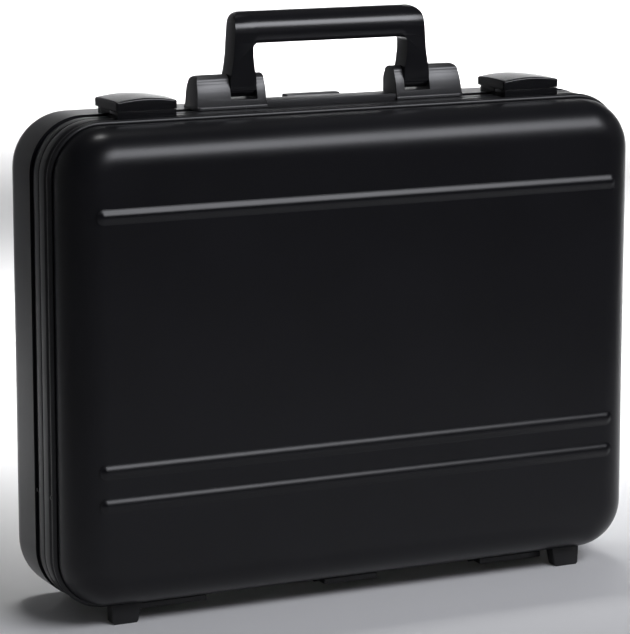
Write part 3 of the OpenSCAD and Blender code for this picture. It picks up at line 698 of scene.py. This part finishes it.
def buildLining(part, name, body, node):
    s = liningSize[part]
    bm = roundDish(s["inset"], s["open"], s["face"], s["round"], s["wall"], (44, 32), 8)
    for v in bm.verts:
        v.co += v.normal * liningSize["pucker"] * noise.noise(v.co * liningSize["puckerScale"])
    lining = place(bm, name, liningCloth, body, "lining_fabric", [node], 60)


buildLining("rear", "rearLining", "base", "rear_lining")
buildLining("front", "frontLining", "lid", "front_lining")
print("linings built")

# Soft pieces: a closed form is remeshed, blown up by a short cloth run and smoothed once
def settled(piece):
    graph = bpy.context.evaluated_depsgraph_get()
    graph.update()
    return bpy.data.meshes.new_from_object(piece.evaluated_get(graph))


def swell(bm, name, size, seamDepth=None, limit=None):
    mesh = bpy.data.meshes.new(name + "Blank")
    bm.to_mesh(mesh)
    bm.free()
    piece = bpy.data.objects.new(name + "Blank", mesh)
    bpy.context.scene.collection.objects.link(piece)
    voxels = piece.modifiers.new("voxels", "REMESH")
    voxels.mode = "VOXEL"
    voxels.voxel_size = size["voxel"]
    blank = settled(piece)
    piece.modifiers.clear()
    piece.data = blank
    held = []
    for v in blank.vertices:
        depth = seamDepth(v.co) if seamDepth else 0
        if depth > 0:
            v.co.y += depth
            held.append(v.index)
    start = [v.co.copy() for v in blank.vertices]
    group = piece.vertex_groups.new(name="seams")
    group.add(held, 1.0, "REPLACE")
    air = piece.modifiers.new("air", "CLOTH")
    air.settings.use_pressure = True
    air.settings.uniform_pressure_force = size["pressure"]
    air.settings.effector_weights.gravity = 0
    air.settings.quality = 5
    if held:
        air.settings.vertex_group_mass = "seams"
    air.point_cache.frame_end = 20
    for step in range(1, 21):
        bpy.context.scene.frame_set(step)
    puffed = settled(piece)
    piece.modifiers.clear()
    piece.data = puffed
    bpy.context.scene.frame_set(1)
    moves = [v.co - was for v, was in zip(puffed.vertices, start)]
    calm = min(1.0, size["reach"] / max(move.length for move in moves))
    for v, was, move in zip(puffed.vertices, start, moves):
        v.co = was + move * calm
    if limit:
        for v in piece.data.vertices:
            v.co = limit(v.co.copy())
    smooth = piece.modifiers.new("smooth", "SUBSURF")
    smooth.levels = smooth.render_levels = 1
    finished = settled(piece)
    bpy.data.objects.remove(piece)
    bm = bmesh.new()
    bm.from_mesh(finished)
    return bm


# Sewing thread seen as short raised stitches along a line of points
def addStitches(bm, points, normal, pitch=3.4 * mm, length=2.3 * mm, thick=0.3 * mm):
    for start, end in zip(points, points[1:]):
        run = Vector(end) - Vector(start)
        count = max(1, int(run.length / pitch))
        along = run.normalized()
        across = along.cross(normal).normalized()
        turn = Matrix((along, across, Vector(normal))).transposed().to_4x4()
        for k in range(count):
            spot = Vector(start) + run * ((k + 0.5) / count)
            shape = Matrix.Translation(spot) @ turn @ Matrix.Diagonal((length / 2, thick, thick, 1))
            bmesh.ops.create_icosphere(bm, subdivisions=1, radius=1, matrix=shape)


# A soft tube along a rounded rectangle, for piping and bindings
def pipingLoop(bm, outline, y, radius, sides=8):
    ring = [
        (outline["corner"] + radius * math.cos(a), y + radius * math.sin(a))
        for a in (2 * math.pi * k / sides for k in range(sides))
    ]
    mergeInto(bm, sweepRound(ring, closed=True, outline=outline, cuts=(40, 30), cornerSteps=6))


padSize = {
    "low": (-187 * mm, 36.5 * mm, 48 * mm),
    "high": (187 * mm, 53.5 * mm, 322 * mm),
    "corner": 16 * mm,
    "voxel": 3.6 * mm,
    "pressure": 4.0,
    "reach": 6.5 * mm,
    "frontY": 32.2 * mm,
    "backY": 55.3 * mm,
    "seamsX": (-126 * mm, -63 * mm, 63 * mm, 126 * mm),
    "seamsZ": (116 * mm, 185 * mm, 254 * mm),
    "seamHalf": 5 * mm,
    "seamDepth": 4 * mm,
    "seamLeast": 0.2 * mm,
    "seamArea": (176 * mm, 60 * mm, 310 * mm),
    "edgeRound": 5 * mm,
    "limitX": 189.5 * mm,
    "limitZ": (45.4 * mm, 324.6 * mm),
    "piping": 2.1 * mm,
    "pipingY": 38 * mm,
    "pipingShape": {"width": 375 * mm, "height": 275 * mm, "corner": 17 * mm, "middle": 185 * mm},
}


def buildPad():
    s = padSize
    bm = bmesh.new()
    newBox(bm, s["low"], s["high"])
    bevelEdges(bm, [e for e in bm.edges if abs(e.verts[0].co.y - e.verts[1].co.y) > 1 * mm], s["corner"], 6)
    bevelEdges(bm, sharpEdges(bm, 50), s["edgeRound"], 3)
    areaX, areaLow, areaHigh = s["seamArea"]

    def seamDepth(co):
        if co.y > 44 * mm or abs(co.x) > areaX or not areaLow < co.z < areaHigh:
            return 0
        near = min(
            min(abs(co.x - x) for x in s["seamsX"]),
            min(abs(co.z - z) for z in s["seamsZ"]),
        )
        if near >= s["seamHalf"]:
            return 0
        return s["seamDepth"] * (1 - near / s["seamHalf"]) + s["seamLeast"]

    def limit(co):
        co.y = min(max(co.y, s["frontY"]), s["backY"])
        co.x = min(max(co.x, -s["limitX"]), s["limitX"])
        co.z = min(max(co.z, s["limitZ"][0]), s["limitZ"][1])
        return co

    bm = swell(bm, "laptopPad", s, seamDepth, limit)
    pipingLoop(bm, s["pipingShape"], s["pipingY"], s["piping"])
    pad = place(bm, "laptopPad", paddingCloth, "base", "padding_fabric", ["laptop_pad"], 70)


buildPad()
print("pad swelled")

bumperSize = {
    "voxel": 4 * mm,
    "pressure": 22.0,
    "reach": 5 * mm,
    "outer": 187.5 * mm,
    "half": 137.5 * mm,
    "middle": 185 * mm,
    "arm": 43 * mm,
    "rim": 9.5 * mm,
    "frontY": 0.5 * mm,
    "rearY": 29.5 * mm,
    "edgeRound": 3 * mm,
    "limitX": 189.8 * mm,
    "limitY": (-1.8 * mm, 31.9 * mm),
    "limitZ": (45.2 * mm, 324.8 * mm),
    "seamX": 183 * mm,
    "seamZ": 133 * mm,
    "seamRun": 36 * mm,
    "seamY": -1.9 * mm,
}


def buildBumpers():
    s = bumperSize
    bm = bmesh.new()
    for sideX in (-1, 1):
        for sideZ in (-1, 1):
            shape = [
                (0, 0), (s["arm"], 0), (s["arm"], s["rim"]), (s["rim"], s["rim"]), (s["rim"], s["arm"]),
                (0, s["arm"]),
            ]
            corner = [
                bm.verts.new((
                    sideX * (s["outer"] - a), s["frontY"], s["middle"] + sideZ * (s["half"] - b),
                )) for a, b in shape
            ]
            face = bm.faces.new(corner)
            made = bmesh.ops.extrude_face_region(bm, geom=[face])["geom"]
            moved = [g for g in made if isinstance(g, bmesh.types.BMVert)]
            bmesh.ops.translate(bm, verts=moved, vec=(0, s["rearY"] - s["frontY"], 0))
    bmesh.ops.recalc_face_normals(bm, faces=bm.faces[:])
    bevelEdges(bm, sharpEdges(bm, 50), s["edgeRound"], 3)

    def limit(co):
        co.y = min(max(co.y, s["limitY"][0]), s["limitY"][1])
        co.x = min(max(co.x, -s["limitX"]), s["limitX"])
        co.z = min(max(co.z, s["limitZ"][0]), s["limitZ"][1])
        return co

    bm = swell(bm, "cornerBumpers", s, None, limit)
    for sideX in (-1, 1):
        for sideZ in (-1, 1):
            x, y, z = sideX * s["seamX"], s["seamY"], s["middle"] + sideZ * s["seamZ"]
            line = [(x - sideX * s["seamRun"], y, z), (x, y, z), (x, y, z - sideZ * s["seamRun"])]
            addStitches(bm, line, Vector((0, -1, 0)))
    bumpers = place(bm, "cornerBumpers", paddingCloth, "base", "padding_fabric", ["laptop_bumpers"], 70)


buildBumpers()
print("bumpers swelled")

strapSize = {
    "half": 19 * mm,
    "thick": 1.5 * mm,
    "ends": (47 * mm, 323 * mm),
    "restY": 31.6 * mm,
    "tuckY": 37.5 * mm,
    "tuckRun": 7 * mm,
    "steps": 46,
    "crowding": 0.06,
    "wave": 0.25 * mm,
    "waveRate": 60,
    "edge": 0.35 * mm,
    "boxHalf": 15 * mm,
    "boxTall": 20 * mm,
    "boxStart": 12 * mm,
}


def buildStrap():
    s = strapSize
    low, high = s["ends"]
    bm = bmesh.new()
    across = [-1, -0.97, -0.9, -0.45, 0, 0.45, 0.9, 0.97, 1]

    def backY(z):
        edge = min(z - low, high - z)
        tuck = max(0.0, 1 - edge / s["tuckRun"])
        bend = (s["tuckY"] - s["restY"]) * tuck * tuck
        return s["restY"] + bend - s["wave"] * math.sin(z * s["waveRate"])

    rows = []
    for k in range(s["steps"] + 1):
        t = k / s["steps"]
        t -= s["crowding"] * math.sin(2 * math.pi * t)
        z = low + (high - low) * t
        rows.append([bm.verts.new((s["half"] * a, backY(z), z)) for a in across])
    for lower, upper in zip(rows, rows[1:]):
        for k in range(len(across) - 1):
            bm.faces.new((lower[k], lower[k + 1], upper[k + 1], upper[k]))
    bmesh.ops.recalc_face_normals(bm, faces=bm.faces[:])
    if bm.faces[0].normal.y > 0:
        bmesh.ops.reverse_faces(bm, faces=bm.faces[:])
    bmesh.ops.solidify(bm, geom=bm.faces[:], thickness=s["thick"])
    bmesh.ops.recalc_face_normals(bm, faces=bm.faces[:])
    bevelEdges(bm, sharpEdges(bm, 60), s["edge"], 2)
    frontY = s["restY"] - s["thick"] - 0.02 * mm
    for way, z in ((1, low + s["boxStart"]), (-1, high - s["boxStart"])):
        x, tall = s["boxHalf"], s["boxTall"] * way
        corners = [(-x, frontY, z), (x, frontY, z), (x, frontY, z + tall), (-x, frontY, z + tall)]
        addStitches(bm, corners + corners[:1], Vector((0, -1, 0)))
        addStitches(bm, [corners[0], corners[2]], Vector((0, -1, 0)))
        addStitches(bm, [corners[1], corners[3]], Vector((0, -1, 0)))
    place(bm, "laptopStrap", webbingCloth, "base", "strap_webbing", ["laptop_strap"], 50)


buildStrap()
print("strap laid")

panelSize = {
    "width": 389 * mm,
    "height": 271 * mm,
    "corner": 14 * mm,
    "middle": 186 * mm,
    "backY": -58 * mm,
    "frontY": -55.9 * mm,
    "binding": 1.25 * mm,
    "tuft": 0.5 * mm,
    "tuftScale": 22,
    "cuts": (46, 30),
    "seamIn": 5 * mm,
    "seamLift": 0.55 * mm,
}


def buildPanel():
    s = panelSize
    outline = {key: s[key] for key in ("width", "height", "corner", "middle")}
    halfX, halfZ = s["width"] / 2 - s["corner"], s["height"] / 2 - s["corner"]
    cuts = s["cuts"]
    bm = bmesh.new()
    for y, way in ((s["backY"], 1), (s["frontY"], -1)):
        rim = [(s["corner"], y), (s["corner"] * 0.5, y), (0, y)]
        mergeInto(bm, sweepRound(rim, outline=outline, cuts=cuts, cornerSteps=6))
        matrix = (
            Matrix.Translation((0, y, s["middle"])) @ Matrix.Rotation(math.pi / 2, 4, "X")
            @ Matrix.Diagonal((2 * halfX, 2 * halfZ, 1, 1))
        )
        bmesh.ops.create_grid(bm, x_segments=cuts[0], y_segments=cuts[1], size=0.5, matrix=matrix)
    side = sweepRound(
        [(s["corner"], s["backY"]), (s["corner"], s["frontY"])], outline=outline, cuts=cuts, cornerSteps=6,
    )
    mergeInto(bm, side)
    bmesh.ops.remove_doubles(bm, verts=bm.verts[:], dist=6e-6)
    bmesh.ops.recalc_face_normals(bm, faces=bm.faces[:])
    for v in bm.verts:
        if v.co.y > s["frontY"] - 1e-6:
            v.co.y += s["tuft"] * (0.5 + noise.noise(v.co * s["tuftScale"]))
    pipingLoop(bm, outline, (s["backY"] + s["frontY"]) / 2, s["binding"])
    x, z = s["width"] / 2 - s["seamIn"], s["height"] / 2 - s["seamIn"]
    y = s["frontY"] + s["seamLift"]
    mid = s["middle"]
    loop = [(-x, y, mid - z), (x, y, mid - z), (x, y, mid + z), (-x, y, mid + z), (-x, y, mid - z)]
    addStitches(bm, loop, Vector((0, 1, 0)))
    panel = place(bm, "organizerPanel", liningCloth, "lid", "lining_fabric", ["organizer_panel"], 50)


buildPanel()

pocketSize = {
    "low": (-189.5 * mm, -55.4 * mm, 54.2 * mm),
    "high": (189.5 * mm, -44.6 * mm, 208.8 * mm),
    "round": 3.4 * mm,
    "wall": 1.5 * mm,
    "bulge": 1.0 * mm,
    "pleat": 1.6 * mm,
    "hemTall": 13 * mm,
    "hemThick": 0.45 * mm,
    "seamIn": 2.4 * mm,
    "seamEnd": 5 * mm,
}


def buildPocket():
    s = pocketSize
    low, high = s["low"], s["high"]
    bm = bmesh.new()
    newBox(bm, low, high)
    bmesh.ops.delete(bm, geom=[f for f in bm.faces if f.normal.z > 0.9], context="FACES")
    corners = [
        e for e in bm.edges
        if len(e.link_faces) == 2 and max(v.co.y for v in e.verts) > low[1] + 1 * mm
    ]
    bevelEdges(bm, corners, s["round"], 4)
    wide, tall = high[0] - low[0], high[2] - low[2]

    def bulgeAt(x, z):
        across = 1 - (x / high[0]) ** 4
        up = (z - low[2]) / tall
        wave = noise.noise(Vector((x * 14, 0.3, z * 11)))
        return s["bulge"] * across * (0.35 + wave) * math.sin(math.pi * min(1, 0.25 + up * 0.75))

    sliceAll(bm, 0, [low[0] + wide * k / 48 for k in range(1, 48)])
    sliceAll(bm, 2, [low[2] + tall * k / 22 for k in range(1, 22)] + [high[2] - s["hemTall"]])
    sliceAll(bm, 1, [low[1] + (high[1] - low[1]) * k / 6 for k in range(1, 6)])
    for v in bm.verts:
        front = max(0.0, (v.co.y - low[1]) / (high[1] - low[1]))
        if front > 0.98:
            v.co.y += bulgeAt(v.co.x, v.co.z)
        elif abs(v.co.x) > high[0] - 0.1 * mm and 0 < front < 1:
            v.co.x -= math.copysign(s["pleat"] * math.sin(math.pi * front), v.co.x)
    bmesh.ops.recalc_face_normals(bm, faces=bm.faces[:])
    outward = [f for f in bm.faces if f.calc_center_median().y > high[1] - 2 * mm and abs(f.normal.y) > 0.9]
    if outward and outward[0].normal.y < 0:
        bmesh.ops.reverse_faces(bm, faces=bm.faces[:])
    hemLow = high[2] - s["hemTall"] + 0.5 * mm
    bmesh.ops.solidify(bm, geom=bm.faces[:], thickness=s["wall"])
    for v in bm.verts:
        if v.co.z > hemLow and v.normal.y > 0.5:
            v.co.y += s["hemThick"]
    seamY = high[1] + s["hemThick"] + 0.02 * mm
    marks = [low[0] + s["seamEnd"] + (wide - 2 * s["seamEnd"]) * k / 36 for k in range(37)]
    for z in (high[2] - s["hemTall"] + s["seamIn"], high[2] - s["seamIn"]):
        line = [(x, seamY + bulgeAt(x, z), z) for x in marks]
        addStitches(bm, line, Vector((0, 1, 0)))
    pocket = place(bm, "documentPocket", pocketCloth, "lid", "padding_fabric", ["document_pocket"], 50)


buildPocket()
print("organizer built")

# Stage and light
stageSize = {"radius": 4.2, "bend": 0.9, "height": 2.2, "cuts": 96}


def buildStage():
    s = stageSize
    bm = bmesh.new()
    flat = s["radius"] - s["bend"]
    line = [(0, 0), (flat * 0.5, 0)] + [
        (flat + s["bend"] * math.sin(math.radians(6 * k)), s["bend"] * (1 - math.cos(math.radians(6 * k))))
        for k in range(16)
    ] + [(s["radius"], s["height"])]
    verts = [bm.verts.new((r, 0, z)) for r, z in line]
    edges = [bm.edges.new(pair) for pair in zip(verts, verts[1:])]
    bmesh.ops.spin(
        bm, geom=verts + edges, cent=(0, 0, 0), axis=(0, 0, 1), angle=2 * math.pi,
        steps=s["cuts"], use_merge=True, use_duplicate=False,
    )
    bmesh.ops.remove_doubles(bm, verts=bm.verts[:], dist=1e-5)
    bmesh.ops.recalc_face_normals(bm, faces=bm.faces[:])
    mesh = bpy.data.meshes.new("studioFloor")
    bm.to_mesh(mesh)
    bm.free()
    mesh.shade_smooth()
    paper = newFinish("studioPaper", (0.84, 0.84, 0.845), 0.9, 0.1)[0]
    mesh.materials.append(paper)
    floor = bpy.data.objects.new("studioFloor", mesh)
    bpy.context.scene.collection.objects.link(floor)


buildStage()

lampSize = {
    "keySoft": {
        "place": (0.60, -1.18, 1.36), "aim": (0, 0, 0.32), "wide": 1.4, "high": 0.62,
        "power": 6.6, "spread": 100, "color": (0.93, 0.94, 1.0),
    },
    "floorPool": {
        "place": (0.78, 0.80, 2.5), "aim": (0.78, 0.80001, 0), "wide": 1.9, "high": 0.9,
        "power": 15, "spread": 38, "color": (1, 1, 1),
    },
    "backdrop": {
        "place": (2.1, 3.3, 3.2), "aim": (2.1, 3.30001, 0), "wide": 2.8, "high": 1.6,
        "power": 70, "spread": 66, "color": (1, 1, 1),
    },
}
skyLight = {"color": (0.95, 0.97, 1.0, 1), "strength": 0.06}


def buildLamp(name, s):
    data = bpy.data.lights.new(name, "AREA")
    data.shape = "RECTANGLE"
    data.size = s["wide"]
    data.size_y = s["high"]
    data.energy = s["power"]
    data.spread = math.radians(s["spread"])
    data.color = s["color"]
    lamp = bpy.data.objects.new(name, data)
    lamp.location = s["place"]
    way = Vector(s["aim"]) - Vector(s["place"])
    lamp.rotation_euler = way.to_track_quat("-Z", "Y").to_euler()
    bpy.context.scene.collection.objects.link(lamp)


for name, size in lampSize.items():
    buildLamp(name, size)

world = bpy.data.worlds.new("studioWorld")
world.use_nodes = True
sky = world.node_tree.nodes["Background"]
sky.inputs["Color"].default_value = skyLight["color"]
sky.inputs["Strength"].default_value = skyLight["strength"]
bpy.context.scene.world = world
print("stage ready")
